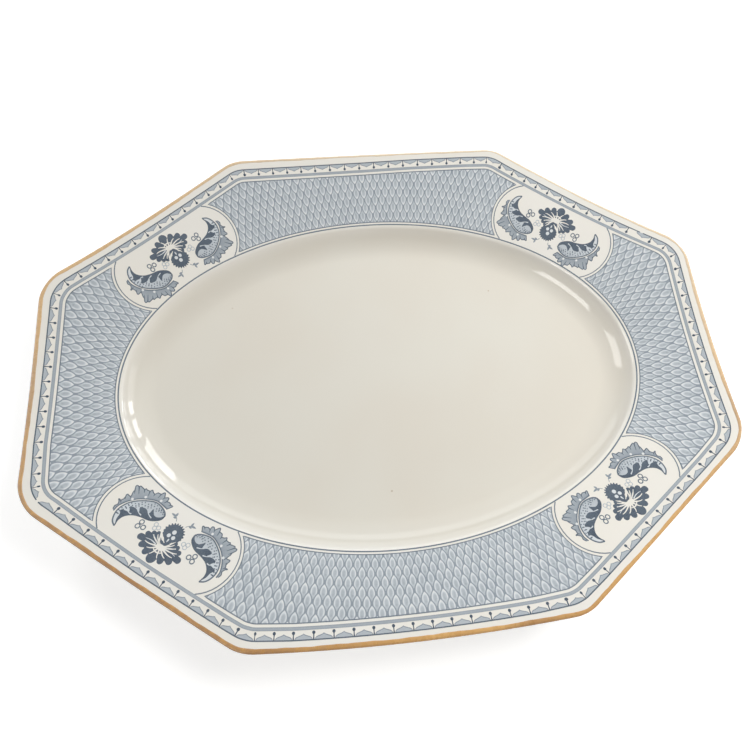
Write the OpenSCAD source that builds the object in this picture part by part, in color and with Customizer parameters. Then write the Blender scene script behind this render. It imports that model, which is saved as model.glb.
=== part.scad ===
// Serving platter: an elongated octagon with rounded corners, an oval well and an oval foot ring.
// The rim rises from the oval at one slope all round, so the octagon's corners stand highest.
// The print lies in a shallow recess of the rim, in the pieces in which it is laid: a border and a
// band in two lengths each, a line round the well, four scale-ground panels and four cartouches.

/* [Octagon] */
// Length over the two short sides
platter_l = 354.4; // [338:0.1:378]
// Width over the two long sides
platter_w = 262.4; // [252:0.1:278]
// Length of a long side, from one sharp corner to the next
long_side_l = 148.9; // [136:0.1:161]
// Length of a short side, from one sharp corner to the next
short_side_l = 113; // [101:0.1:123]
// Radius of the slight bow of the long sides
long_side_r = 870; // [700:10:1200]
// Radius of the slight bow of the short sides
short_side_r = 710; // [600:10:1200]
// Radius of the slight bow of the diagonal sides
diagonal_side_r = 1330; // [900:10:1800]
// Radius of the rounded corners
corner_r = 23; // [18:0.5:29]

/* [Well] */
// Width of the rim at the middle of a short side, in to the oval
short_rim_w = 37; // [34:0.1:39.5]
// Width of the rim at the middle of a long side, in to the oval
long_rim_w = 38.9; // [36:0.1:41.5]
// Radius of the roll from the rim into the well
roll_r = 4; // [3:0.5:6]
// Radius of the cove at the foot of the well's wall
cove_r = 16; // [13:0.5:18]
// Steepest slope of the well's wall
wall_slope = 62; // [55:1:68]
// Slope of the rim, from level
rim_slope = 22; // [18:0.5:25]

/* [Walls] */
// Thickness of the base under the well
base_t = 5; // [4:0.25:6.5]
// Thickness of the rim, measured upright
rim_t = 5.2; // [4.5:0.1:6.5]
// Thickness of the lip, measured upright
lip_t = 4.2; // [3.6:0.1:5]
// Depth of the lip's half-round edge
lip_round = 1.5; // [1:0.1:1.8]

/* [Foot ring] */
// Height of the foot ring under the base
foot_h = 2; // [1.5:0.25:3]
// Width of the foot ring
foot_w = 5; // [4:0.25:7]
// Distance from the oval in to the foot ring's outer side
foot_set = 11.6; // [10:0.2:13]
// Draft of the foot ring's outer side
foot_draft = 0.5; // [0.3:0.1:1]

/* [Lip line] */
// Width of the enamel line on top of the lip
lip_line_w = 2.6; // [2:0.05:3.2]
// Depth of the enamel line in the lip
lip_line_t = 0.3; // [0.2:0.05:0.4]

/* [Print] */
// Depth of the printed pieces in the rim
print_t = 0.3; // [0.2:0.05:0.5]
// Plain margin from the lip's edge to the print
margin_w = 4.7; // [4:0.1:5.6]
// Width of the lambrequin border
border_w = 4; // [3:0.1:5]
// Width of the plain band inside the border
band_w = 1.5; // [1:0.1:2.5]
// Width of the line round the well
well_line_w = 0.7; // [0.4:0.1:1.2]

/* [Cartouches] */
// Distance from a cartouche's middle to the centre of each rounded end
end_spread = 17.6; // [14:0.2:22]
// How much the rounded ends' radius is over half the panel's width
end_overreach = 3.9; // [2.6:0.1:4.6]
// How far the ends' centres lie past the panel's middle, towards the well
end_shift = 1.3; // [0:0.1:2.2]
// How far the back right cartouche was laid from its side's middle, towards the back
back_right_shift = 5.7; // [4:0.1:6.2]
// How far the back left cartouche was laid from its side's middle, towards the back
back_left_shift = 1.8; // [0.6:0.1:3]
// How far the front left cartouche was laid from its side's middle, towards the front
front_left_shift = 1; // [0:0.1:2.2]
// How far the front right cartouche was laid from its side's middle, towards the front
front_right_shift = 3.2; // [2:0.1:4.4]

/* [Hidden] */

well_a = platter_l / 2 - short_rim_w;
well_b = platter_w / 2 - long_rim_w;
cove_w = roll_r * (sin(wall_slope) - sin(rim_slope)) + cove_r * sin(wall_slope);
floor_z = foot_h + base_t;
well_edge_z = floor_z + cove_r * (1 - cos(wall_slope)) + roll_r * (cos(rim_slope) - cos(wall_slope));
under_r = cove_r + base_t;
// How far outside the oval the underside's cove has run into the rim's underside
under_reach = rim_t;
// How far the cut for the foot ring's inside passes below the foot
overrun = foot_h;

// Stations round the platter: in a cartouche, on a diagonal side beside it, round a corner, on a side
CARTOUCHE_N = 8;
BESIDE_N = 2;
CORNER_N = 3;
LONG_N = 8;
SHORT_N = 6;
// Steps from the band in to the line round the well
ACROSS_N = 5;
// How fast a panel's stations lose the curve of the cartouche beside it
BEND_POWER = 4;
// How evenly the stations are spread on the oval, from the outline's foot points (0) to even steps (1)
even_share = 0.5;
// Stations from the back right cartouche's first end on to the seam of the line round the well
WELL_SEAM_AFTER = 7;
// Stations from the border's right seam on to the back right cartouche, and from the left seam on to
// the front left one
RIGHT_SEAM_BEFORE = 1;
LEFT_SEAM_BEFORE = 3;
FOOT_POINT_STEPS = 6;
CROSSING_STEPS = 30;

// The eight sides, counted anticlockwise from the diagonal at the back right
short_corner = [platter_l, short_side_l] / 2;
long_corner = [long_side_l, platter_w] / 2;
diagonal_facing = atan2(short_corner.x - long_corner.x, long_corner.y - short_corner.y);
diagonal_apothem = short_corner * heading(diagonal_facing);
function facing(s) = [diagonal_facing, 90, 180 - diagonal_facing, 180][s % 4] + (s % 8 > 3 ? 180 : 0);
function apothem(s) = [diagonal_apothem, platter_w / 2, diagonal_apothem, platter_l / 2][s % 4];
function side_r(s) = [diagonal_side_r, long_side_r, diagonal_side_r, short_side_r][s % 4];
function heading(angle) = [cos(angle), sin(angle)];
function toward(from, to) = atan2(to.y - from.y, to.x - from.x);
// Turn from one direction to another, between minus and plus a half turn
function swing(from, to) = (to - from + 900) % 360 - 180;

// Crossing of two circles, on the left (1) or the right (-1) of the way from the first to the second
function crossing(c1, r1, c2, r2, hand) =
    let (
        way = (c2 - c1) / norm(c2 - c1),
        along = (norm(c2 - c1) ^ 2 + r1 ^ 2 - r2 ^ 2) / (2 * norm(c2 - c1)),
        across = sqrt(r1 ^ 2 - along ^ 2)
    )
    c1 + along * way + hand * across * [-way.y, way.x];

// How far along a diagonal side its middle lies from the foot of the square to the platter's centre
diagonal_shift = (short_corner + long_corner) / 2 * [sin(diagonal_facing), -cos(diagonal_facing)];
function side_point(s, inset, shift) =
    let (middle = s % 2 == 1 ? 0 : (s % 4 == 0 ? -1 : 1) * diagonal_shift)
    (apothem(s) - inset) * heading(facing(s)) + (middle + shift) * heading(facing(s) + 90);
side_centres = [for (s = [0:8]) side_point(s, side_r(s), 0)];
corner_centres = [for (s = [0:7])
    crossing(side_centres[s], side_r(s) - corner_r, side_centres[s + 1], side_r(s + 1) - corner_r, 1)];

// Foot point on the oval of a point beside it, as the cosine and sine of the oval's own angle
function foot_step(p, t, steps) =
    steps == 0 ? t :
    let (
        evolute = (well_a ^ 2 - well_b ^ 2) * [t.x ^ 3 / well_a, -(t.y ^ 3) / well_b],
        reach = norm([well_a * t.x, well_b * t.y] - evolute) / norm(p - evolute),
        on_oval = evolute + reach * (p - evolute),
        next = [max(on_oval.x / well_a, 0), max(on_oval.y / well_b, 0)]
    )
    foot_step(p, next / norm(next), steps - 1);
function foot_point(p) =
    let (t = foot_step([abs(p.x), abs(p.y)], heading(45), FOOT_POINT_STEPS))
    [p.x < 0 ? -t.x : t.x, p.y < 0 ? -t.y : t.y];
function foot_angle(p) = let (t = foot_point(p)) atan2(t.y, t.x);
// Distance of a point from the oval, negative inside it
function away(p) =
    let (
        t = foot_point(p),
        side = (p.x / well_a) ^ 2 + (p.y / well_b) ^ 2 < 1 ? -1 : 1
    )
    side * norm(p - [well_a * t.x, well_b * t.y]);
function rim_z(p) = well_edge_z + tan(rim_slope) * away(p);
// Point on the oval at its own angle t, moved out by e
function oval(t, e) =
    let (square = [well_b * cos(t), well_a * sin(t)])
    [well_a * cos(t), well_b * sin(t)] + e * square / norm(square);

// The cartouches' eight rounded ends, in the same order: each cartouche's first end, then its last
panel_w0 = margin_w + border_w + band_w;
diagonal_panel_w = away(side_point(0, panel_w0, 0)) - well_line_w;
end_r = diagonal_panel_w / 2 + end_overreach;
end_inset = panel_w0 + diagonal_panel_w / 2 + end_shift;
function end_side(e) = 2 * floor(e / 2);
function end_hand(e) = e % 2 == 0 ? -1 : 1;
laid_shifts = [back_right_shift, -back_left_shift, front_left_shift, -front_right_shift];
function end_centre(e) =
    side_point(end_side(e), end_inset, end_hand(e) * end_spread + laid_shifts[floor(e / 2)]);
// Angle on a rounded end where it reaches the line round the well
function end_at_well(e, outer, inner, steps) =
    steps == 0 ? (outer + inner) / 2 :
    let (
        middle = (outer + inner) / 2,
        beyond = away(end_centre(e) + end_r * heading(middle)) > well_line_w
    )
    end_at_well(e, beyond ? middle : outer, beyond ? inner : middle, steps - 1);
function end_curve(e) =
    let (
        side = end_side(e),
        f = facing(side),
        c = end_centre(e),
        at_band = crossing(side_centres[side], side_r(side) - panel_w0, c, end_r, end_hand(e)),
        first = f + swing(f, toward(c, at_band)),
        last = end_at_well(e, f + end_hand(e) * 90, f + end_hand(e) * 180, CROSSING_STEPS)
    )
    [for (k = [0:ACROSS_N]) c + end_r * heading(first + (last - first) * k / ACROSS_N)];
end_curves = [for (e = [0:8]) end_curve(e % 8)];

// Stations on the outline, as the centre, the radius and the angle of the arc that each lies on
function arc_stations(c, r, first, last, count) =
    [for (k = [0:count - 1]) [c, r, first + swing(first, last) * k / count]];
function side_stations(s, first, last, count) = arc_stations(side_centres[s], side_r(s), first, last, count);
function corner_stations(s) =
    let (c = corner_centres[s])
    arc_stations(c, corner_r, toward(side_centres[s], c), toward(side_centres[s + 1], c), CORNER_N);
function cartouche_stations(s) =
    let (c = side_centres[s])
    side_stations(s, toward(c, end_curves[s][0]), toward(c, end_curves[s + 1][0]), CARTOUCHE_N);
function panel_stations(s) =
    let (
        next = (s + 2) % 8,
        middle_c = side_centres[s + 1],
        beside = side_stations(s, toward(side_centres[s], end_curves[s + 1][0]),
            toward(side_centres[s], corner_centres[s]), BESIDE_N),
        middle = side_stations(s + 1, toward(middle_c, corner_centres[s]),
            toward(middle_c, corner_centres[s + 1]), s % 4 == 0 ? LONG_N : SHORT_N),
        beyond = side_stations(next, toward(side_centres[next], corner_centres[s + 1]),
            toward(side_centres[next], end_curves[s + 2][0]), BESIDE_N)
    )
    concat(beside, corner_stations(s), middle, corner_stations(s + 1), beyond);
stations = [for (s = [0:2:6]) each concat(cartouche_stations(s), panel_stations(s))];
STATION_N = len(stations);

// The eight stretches, counted as the ends are: a cartouche, then the panel after it
PANEL_N = [for (s = [0:7]) s % 2 == 0 ? CARTOUCHE_N :
    2 * (BESIDE_N + CORNER_N) + (s % 4 == 1 ? LONG_N : SHORT_N)];
function stretch_start(s) = s == 0 ? 0 : stretch_start(s - 1) + PANEL_N[s - 1];
STARTS = [for (s = [0:8]) stretch_start(s)];

// Point on the outline at station i, moved in by w
function edge(i, w) = let (st = stations[i % STATION_N]) st[0] + (st[1] - w) * heading(st[2]);
// Stations on the oval lie near the outline's foot points, and meet the cartouches' ends
oval_angles = [for (s = [0:7])
    let (
        first = foot_angle(end_curves[s][ACROSS_N]),
        last = foot_angle(end_curves[s + 1][ACROSS_N]),
        from = foot_angle(edge(STARTS[s], panel_w0)),
        to = foot_angle(edge(STARTS[s + 1], panel_w0))
    )
    for (i = [STARTS[s]:STARTS[s + 1] - 1])
        let (
            even = (i - STARTS[s]) / PANEL_N[s],
            by_foot = swing(from, foot_angle(edge(i, panel_w0))) / swing(from, to)
        )
        first + swing(first, last) * (even_share * even + (1 - even_share) * by_foot)];
function well(i, e) = oval(oval_angles[i % STATION_N], e);

// One grid carries the recess and every printed piece, so that they meet face to face. Its rings
// run from the print's outer edge, past the border and the band, across the panels, to the oval
BORDER_RING = 0;
BAND_RING = 1;
PANEL_RING = 2;
WELL_LINE_RING = PANEL_RING + ACROSS_N;
OVAL_RING = WELL_LINE_RING + 1;
function bend(e, k) =
    end_curves[e][k] - end_curves[e][0] - (end_curves[e][ACROSS_N] - end_curves[e][0]) * k / ACROSS_N;
function panel_point(s, i, k) =
    let (
        u = (i - STARTS[s]) / PANEL_N[s],
        power = s % 2 == 0 ? 1 : BEND_POWER,
        outer = edge(i, panel_w0),
        inner = well(i, well_line_w)
    )
    outer + (inner - outer) * k / ACROSS_N + (1 - u) ^ power * bend(s, k) + u ^ power * bend(s + 1, k);
panel_rings = [for (s = [0:7]) for (i = [STARTS[s]:STARTS[s + 1] - 1])
    [for (k = [0:ACROSS_N]) panel_point(s, i, k)]];
function ring_point(i, ring) =
    ring == BORDER_RING ? edge(i, margin_w) :
    ring == BAND_RING ? edge(i, margin_w + border_w) :
    ring == OVAL_RING ? well(i, 0) :
    panel_rings[i % STATION_N][ring - PANEL_RING];
function raised(p, dz) = [p.x, p.y, rim_z(p) + dz];
grid = [for (i = [0:STATION_N - 1]) [for (ring = [0:OVAL_RING]) raised(ring_point(i, ring), 0)]];
function grid_point(i, ring, dz) = grid[i % STATION_N][ring] + [0, 0, dz];

// Squares between rows of points that lie one after another in a list, each cut into two triangles
// from the first point of the later row to the second point of the earlier one. A closed row joins
// its last point to its first
function squares(rows, count, closed) =
    [for (r = [0:rows - 2]) for (c = [0:count - (closed ? 1 : 2)])
        let (
            p = r * count + c,
            q = r * count + (c + 1) % count
        )
        each [[p, p + count, q], [q, p + count, q + count]]];

// A printed piece: a block of the grid between two stations and two rings. Its underside is cut into
// the same triangles as its top and as the recess
module print_piece(first, last, ring_out, ring_in) {
    across = ring_in - ring_out + 1;
    rows = last - first + 1;
    top = [for (i = [first:last]) for (ring = [ring_out:ring_in]) grid_point(i, ring, 0)];
    under = [for (p = top) p - [0, 0, print_t]];
    sheet = squares(rows, across, false);
    top_faces = [for (face = sheet) [face[2], face[1], face[0]]];
    under_faces = [for (face = sheet) face + len(top) * [1, 1, 1]];
    // Once round the top's edge: out along the first station, along the outer ring, in and back
    border = concat(
        [for (c = [across - 1:-1:1]) c],
        [for (r = [0:rows - 2]) r * across],
        [for (c = [0:across - 2]) (rows - 1) * across + c],
        [for (r = [rows - 1:-1:1]) r * across + across - 1]);
    walls = [for (k = [0:len(border) - 1])
        let (
            a = border[k],
            b = border[(k + 1) % len(border)]
        )
        each [[a, b, a + len(top)], [b, b + len(top), a + len(top)]]];
    polyhedron(concat(top, under), concat(top_faces, under_faces, walls), convexity = 6);
}

// Half-round edge of the lip at an angle from its outermost line, moved in by depth
function lip_point(i, angle, depth) =
    let (
        w = lip_round - (lip_round - depth) * cos(angle),
        dz = (lip_t / 2 - depth) * sin(angle) - lip_t / 2
    )
    raised(edge(i, w), dz);
LIP_ANGLES = [0, 45, 90];
function lip_seat(i) = concat(
    [for (angle = LIP_ANGLES) lip_point(i, angle, lip_line_t)],
    [raised(edge(i, lip_line_w), -lip_line_t)]);

module lip_line() {
    rows = [for (i = [0:STATION_N - 1])
        each concat(
            lip_seat(i),
            [raised(edge(i, lip_line_w), 0)],
            [for (k = [len(LIP_ANGLES) - 1:-1:0]) lip_point(i, LIP_ANGLES[k], 0)])];
    count = len(rows) / STATION_N;
    last = (STATION_N - 1) * count;
    joint = [for (k = [0:count - 1])
        let (n = (k + 1) % count)
        each [[last + k, k, last + n], [last + n, k, n]]];
    color("#c98f45") polyhedron(rows, concat(squares(STATION_N, count, true), joint), convexity = 8);
}

// One station's section of the body, from the foot's outer side, up the underside, over the lip,
// down the rim and the recess, and down the well's wall to its floor
COVE_STEPS = 5;
ROLL_STEPS = 3;
function at_well(i, e, z) = let (p = well(i, e)) [p.x, p.y, z];
function section(i) =
    let (
        foot_slope = asin((cove_w - foot_set) / under_r),
        rim_under = raised(well(i, under_reach), -rim_t),
        lip_under = raised(edge(i, margin_w), -rim_t)
    )
    concat(
        [at_well(i, -foot_set - foot_draft, 0)],
        [for (k = [0:COVE_STEPS])
            let (slope = foot_slope + (wall_slope - foot_slope) * k / COVE_STEPS)
            at_well(i, under_r * sin(slope) - cove_w, floor_z + cove_r - under_r * cos(slope))],
        [rim_under, (rim_under + lip_under) / 2, lip_under],
        [for (k = [len(LIP_ANGLES) - 1:-1:0]) lip_point(i, -LIP_ANGLES[k], 0)],
        lip_seat(i),
        [raised(edge(i, lip_line_w), 0), grid_point(i, BORDER_RING, 0)],
        [for (ring = [BORDER_RING:OVAL_RING]) grid_point(i, ring, -print_t)],
        [for (k = [0:ROLL_STEPS])
            let (slope = rim_slope + (wall_slope - rim_slope) * k / ROLL_STEPS)
            at_well(i, roll_r * (sin(rim_slope) - sin(slope)),
                well_edge_z + roll_r * (cos(slope) - cos(rim_slope)))],
        [for (k = [1:COVE_STEPS])
            let (slope = wall_slope * (1 - k / COVE_STEPS))
            at_well(i, cove_r * sin(slope) - cove_w, floor_z + cove_r * (1 - cos(slope)))]);

module body_blank() {
    sections = [for (i = [0:STATION_N - 1]) section(i)];
    count = len(sections[0]);
    rings = [for (k = [0:count - 1]) each [for (i = [0:STATION_N - 1]) sections[i][k]]];
    foot_centre = len(rings);
    floor_centre = foot_centre + 1;
    top = (count - 1) * STATION_N;
    foot_fan = [for (i = [0:STATION_N - 1]) [foot_centre, i, (i + 1) % STATION_N]];
    floor_fan = [for (i = [0:STATION_N - 1]) [floor_centre, top + (i + 1) % STATION_N, top + i]];
    polyhedron(concat(rings, [[0, 0, 0], [0, 0, floor_z]]),
        concat(squares(count, STATION_N, true), foot_fan, floor_fan), convexity = 10);
}

module platter_body() {
    inside = foot_set + foot_w;
    color("#ece7da") difference() {
        body_blank();
        translate([0, 0, -overrun])
            linear_extrude(foot_h + overrun)
                scale([(well_a - inside) / (well_b - inside), 1])
                    circle(well_b - inside, $fn = 96);
    }
}

// The border and the band were laid in two lengths, which meet on the right before the back right
// cartouche, and at the corner before the front left one. The line round the well breaks inside the
// back right cartouche instead
right_seam = STATION_N - RIGHT_SEAM_BEFORE;
left_seam = STARTS[4] - LEFT_SEAM_BEFORE;
module laid_back_left(ring) print_piece(right_seam, STATION_N + left_seam, ring, ring + 1);
module laid_front_right(ring) print_piece(left_seam, right_seam, ring, ring + 1);
module laid_stretch(s) print_piece(STARTS[s], STARTS[s + 1], PANEL_RING, WELL_LINE_RING);

module border_back_left() color("#c3cbd3") laid_back_left(BORDER_RING);
module border_front_right() color("#c3cbd3") laid_front_right(BORDER_RING);
module band_back_left() color("#9fadba") laid_back_left(BAND_RING);
module band_front_right() color("#9fadba") laid_front_right(BAND_RING);
module well_line_back_left()
    color("#5d6c82") print_piece(WELL_SEAM_AFTER, left_seam, WELL_LINE_RING, OVAL_RING);
module well_line_front_right()
    color("#5d6c82") print_piece(left_seam, STATION_N + WELL_SEAM_AFTER, WELL_LINE_RING, OVAL_RING);
module cartouche_back_right() color("#efeadd") laid_stretch(0);
module scale_panel_back() color("#aab6c3") laid_stretch(1);
module cartouche_back_left() color("#efeadd") laid_stretch(2);
module scale_panel_left() color("#aab6c3") laid_stretch(3);
module cartouche_front_left() color("#efeadd") laid_stretch(4);
module scale_panel_front() color("#aab6c3") laid_stretch(5);
module cartouche_front_right() color("#efeadd") laid_stretch(6);
module scale_panel_right() color("#aab6c3") laid_stretch(7);

platter_body();
lip_line();
border_back_left();
border_front_right();
band_back_left();
band_front_right();
well_line_back_left();
well_line_front_right();
scale_panel_back();
scale_panel_left();
scale_panel_front();
scale_panel_right();
cartouche_back_right();
cartouche_back_left();
cartouche_front_left();
cartouche_front_right();
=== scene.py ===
import math

import bpy
import numpy as np
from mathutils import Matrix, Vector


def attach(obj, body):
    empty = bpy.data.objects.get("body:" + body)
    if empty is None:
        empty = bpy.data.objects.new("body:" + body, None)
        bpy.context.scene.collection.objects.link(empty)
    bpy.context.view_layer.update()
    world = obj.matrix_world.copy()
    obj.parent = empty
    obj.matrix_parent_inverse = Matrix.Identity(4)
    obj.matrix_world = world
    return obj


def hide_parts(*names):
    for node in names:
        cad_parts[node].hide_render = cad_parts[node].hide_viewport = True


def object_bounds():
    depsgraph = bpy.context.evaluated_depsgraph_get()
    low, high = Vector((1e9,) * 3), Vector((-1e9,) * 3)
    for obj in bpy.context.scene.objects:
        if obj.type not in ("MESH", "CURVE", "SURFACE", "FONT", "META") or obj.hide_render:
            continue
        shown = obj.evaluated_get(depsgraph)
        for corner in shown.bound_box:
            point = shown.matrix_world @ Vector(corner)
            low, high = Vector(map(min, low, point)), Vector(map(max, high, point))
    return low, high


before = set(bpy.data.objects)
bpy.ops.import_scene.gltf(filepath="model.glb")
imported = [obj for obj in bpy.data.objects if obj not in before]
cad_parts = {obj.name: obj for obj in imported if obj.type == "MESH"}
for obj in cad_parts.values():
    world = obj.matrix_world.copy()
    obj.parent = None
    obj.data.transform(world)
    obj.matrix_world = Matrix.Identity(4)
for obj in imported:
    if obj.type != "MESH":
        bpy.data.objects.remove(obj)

CAD_BOX = [[float(v) for v in corner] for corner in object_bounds()]
MM = 0.001
TURN = 2 * math.pi

# Sizes in millimetres, as in the part's source
PLATTER_L, PLATTER_W = 354.4, 262.4
LONG_SIDE_L, SHORT_SIDE_L = 148.9, 113
LONG_SIDE_R, SHORT_SIDE_R, DIAGONAL_SIDE_R, CORNER_R = 870, 710, 1330, 23
SHORT_RIM_W, LONG_RIM_W = 37, 38.9
ROLL_R, COVE_R = 4, 16
WALL_SLOPE, RIM_SLOPE = math.radians(62), math.radians(22)
BASE_T, RIM_T, LIP_T, LIP_ROUND = 5, 5.2, 4.2, 1.5
FOOT_H, FOOT_W, FOOT_SET = 2, 5, 11.6
MARGIN_W, BORDER_W, BAND_W = 4.7, 4, 1.5
END_SPREAD, END_INSET = 17.6, 25.39
# How far each cartouche was laid along its side, anticlockwise, from the back right one on
LAID_SHIFTS = (5.7, -1.8, 1.0, -3.2)

WELL = np.array([PLATTER_L / 2 - SHORT_RIM_W, PLATTER_W / 2 - LONG_RIM_W])
ROLL_W = ROLL_R * (math.sin(WALL_SLOPE) - math.sin(RIM_SLOPE))
COVE_W = ROLL_W + COVE_R * math.sin(WALL_SLOPE)
FLOOR_Z = FOOT_H + BASE_T
WELL_EDGE_Z = (FLOOR_Z + COVE_R * (1 - math.cos(WALL_SLOPE))
               + ROLL_R * (math.cos(RIM_SLOPE) - math.cos(WALL_SLOPE)))
PANEL_W0 = MARGIN_W + BORDER_W + BAND_W

# The print as it is laid: widths in from the lip's edge (W), distances out from the oval (D), radii
# of the cartouches' ends (R) and thicknesses of the lines (T)
DARK_LINE_W, DARK_LINE_T = 5.0, 0.5
PIN_PITCH, PIN_HEAD_W, PIN_HEAD_R = 8.6, 7.75, 0.7
LUNETTE_W, LUNETTE_GAP, LUNETTE_LINE_T = 7.15, 0.6, 0.34
BAND_FROM, BAND_TO, BAND_LINE_T = 8.75, 10.15, 0.26
PANEL_LINE_W, PANEL_LINE_D, PANEL_LINE_R, PANEL_LINE_T = 11.5, 1.45, 19.3, 0.45
CARTOUCHE_LINE_D, CARTOUCHE_LINE_R, CARTOUCHE_LINE_T = 0.5, 17.8, 0.5
WELL_LINE_D, WELL_LINE_T = 0.05, 0.62
# A pin's stem at its foot, middle and head
PIN_STEM_TS = (0.7, 0.45, 0.6)
# The cream ground under each length of the border, and how far the dark line stops short of the
# length's start and of its end
GROUND_FROM, GROUND_TO = 4.65, 8.55
START_GAP, END_GAP = 1.5, 0.2
# Heights of the layers of the print over the glazed clay, and how deep each one is sunk
GROUND_LIFT, FILL_LIFT, DRAW_LIFT, FINE_LIFT = 0.02, 0.035, 0.05, 0.065
PRINT_SINK = 0.03
# Where the lengths of the border and the lines round the well meet, as lengths round the outline
RIGHT_SEAM_T, LEFT_SEAM_T, WELL_SEAM_T = 11.6, 500.6, 79.9

# Ink densities, and the steps in which the lines along the print are drawn
CREAM, PALE, MIST, GREY, MID, DEEP, DARK = 0.0, 0.16, 0.3, 0.45, 0.62, 0.8, 1.0
PRINT_STEP = 1.6


def heading(angle):
    return np.stack([np.cos(angle), np.sin(angle)], axis=-1)


def length_of(v):
    return np.linalg.norm(v, axis=-1)


def all_round(count):
    """Even angles once round"""
    return np.arange(count) * TURN / count


# The octagon's sides are counted anticlockwise from the diagonal at the back right
SHORT_CORNER = np.array([PLATTER_L, SHORT_SIDE_L]) / 2
LONG_CORNER = np.array([LONG_SIDE_L, PLATTER_W]) / 2
DIAGONAL_FACING = math.atan2(SHORT_CORNER[0] - LONG_CORNER[0], LONG_CORNER[1] - SHORT_CORNER[1])
DIAGONAL_APOTHEM = SHORT_CORNER @ heading(DIAGONAL_FACING)
DIAGONAL_SHIFT = (SHORT_CORNER + LONG_CORNER) / 2 @ [math.sin(DIAGONAL_FACING),
                                                     -math.cos(DIAGONAL_FACING)]


def facing(s):
    quarter = [DIAGONAL_FACING, math.pi / 2, math.pi - DIAGONAL_FACING, math.pi][s % 4]
    return quarter + (math.pi if s % 8 > 3 else 0)


def apothem(s):
    return [DIAGONAL_APOTHEM, PLATTER_W / 2, DIAGONAL_APOTHEM, PLATTER_L / 2][s % 4]


def side_r(s):
    return [DIAGONAL_SIDE_R, LONG_SIDE_R, DIAGONAL_SIDE_R, SHORT_SIDE_R][s % 4]


def side_point(s, inset, shift):
    """Point beside the middle of side s, moved in by inset and along the side by shift"""
    out, along = heading(facing(s)), heading(facing(s) + math.pi / 2)
    middle = 0 if s % 2 else (1 if s % 4 else -1) * DIAGONAL_SHIFT
    return (apothem(s) - inset) * out + (middle + shift) * along


def crossing(c1, r1, c2, r2):
    """Crossing of two circles, on the left of the way from the first to the second"""
    apart = length_of(c2 - c1)
    way = (c2 - c1) / apart
    along = (apart ** 2 + r1 ** 2 - r2 ** 2) / (2 * apart)
    return c1 + along * way + math.sqrt(r1 ** 2 - along ** 2) * np.array([-way[1], way[0]])


def swing(first, last):
    """Turn from one direction to another, between minus and plus a half turn"""
    return (last - first + 3 * math.pi) % TURN - math.pi


def outline_arcs():
    """The outline's 16 arcs, a side and the corner after it: centre, radius, first angle, turn"""
    sides = [side_point(s, side_r(s), 0) for s in range(9)]
    corners = [crossing(sides[s], side_r(s) - CORNER_R, sides[s + 1], side_r(s + 1) - CORNER_R)
               for s in range(8)]

    def toward(a, b):
        return math.atan2(*(b - a)[::-1])

    arcs = []
    for s in range(8):
        before, after = corners[s - 1], corners[s]
        first, last = toward(sides[s], before), toward(sides[s], after)
        arcs.append((sides[s], side_r(s), first, swing(first, last)))
        arcs.append((after, CORNER_R, last, swing(last, toward(sides[s + 1], after))))
    return arcs


ARCS = outline_arcs()
ARC_CENTRES = np.array([a[0] for a in ARCS])
ARC_RADII = np.array([a[1] for a in ARCS], float)
ARC_FIRST = np.array([a[2] for a in ARCS])
ARC_TURNS = np.array([a[3] for a in ARCS])
ARC_LENGTHS = ARC_RADII * ARC_TURNS
ARC_STARTS = np.r_[0, np.cumsum(ARC_LENGTHS)]
ROUND = ARC_STARTS[-1]


def edge(t, w):
    """Point at length t round the outline, moved in by w"""
    t = np.asarray(t, float) % ROUND
    k = np.clip(np.searchsorted(ARC_STARTS, t, side="right") - 1, 0, len(ARCS) - 1)
    angle = ARC_FIRST[k] + ARC_TURNS[k] * (t - ARC_STARTS[k]) / ARC_LENGTHS[k]
    return ARC_CENTRES[k] + (ARC_RADII[k] - w)[..., None] * heading(angle)


# The wander of the print that was laid by hand: length round the outline, and drift inwards
WANDER = ((4, -0.2), (53, 0.0), (100, 0.0), (128, -0.5), (160, -0.4), (188, 0.1), (222, 0.4),
          (258, 0.5), (290, 0.3), (370, 0.3), (386, 0.7), (420, 0.3), (470, -0.2), (488, 0.5),
          (508, 0.9), (525, 0.4), (560, -0.2), (606, 0.0), (618, 0.3), (640, -0.3), (750, -0.4),
          (772, 0.3), (790, -0.1), (870, -0.3), (890, 0.4), (902, 0.6), (930, 0.4), (990, 0.1))


def laid(t, w):
    """Point of the print at length t round the outline, laid at w in from the lip's edge"""
    return edge(t, w + np.interp(t, *zip(*WANDER), period=ROUND))


def laid_rows(t, widths):
    """Rows of points of the print, one across the widths at each length of t"""
    return laid(*np.meshgrid(t, widths, indexing="ij"))


def side_middle(s):
    """Length round the outline at the middle of side s"""
    return (ARC_STARTS[2 * s] + ARC_STARTS[2 * s + 1]) / 2


def foot(p):
    """Cosine and sine of the oval's own angle where each point is nearest to it"""
    q = np.abs(p)
    t = np.full_like(q, math.sqrt(0.5))
    for _ in range(8):
        evolute = (WELL[0] ** 2 - WELL[1] ** 2) * t ** 3 / WELL * [1, -1]
        reach = length_of(WELL * t - evolute) / length_of(q - evolute)
        t = np.maximum((evolute + reach[..., None] * (q - evolute)) / WELL, 0)
        t = t / length_of(t)[..., None]
    return np.where(p < 0, -t, t)


def foot_angle(p):
    t = foot(p)
    return np.arctan2(t[..., 1], t[..., 0])


def away(p):
    """Distance of each point from the oval, negative inside it"""
    side = np.where(((p / WELL) ** 2).sum(-1) < 1, -1, 1)
    return side * length_of(p - WELL * foot(p))


def oval(angle, d):
    """Point on the oval at its own angle, moved out by d"""
    along = heading(angle)
    square = along * WELL[::-1]
    return WELL * along + np.asarray(d, float)[..., None] * square / length_of(square)[..., None]


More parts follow.
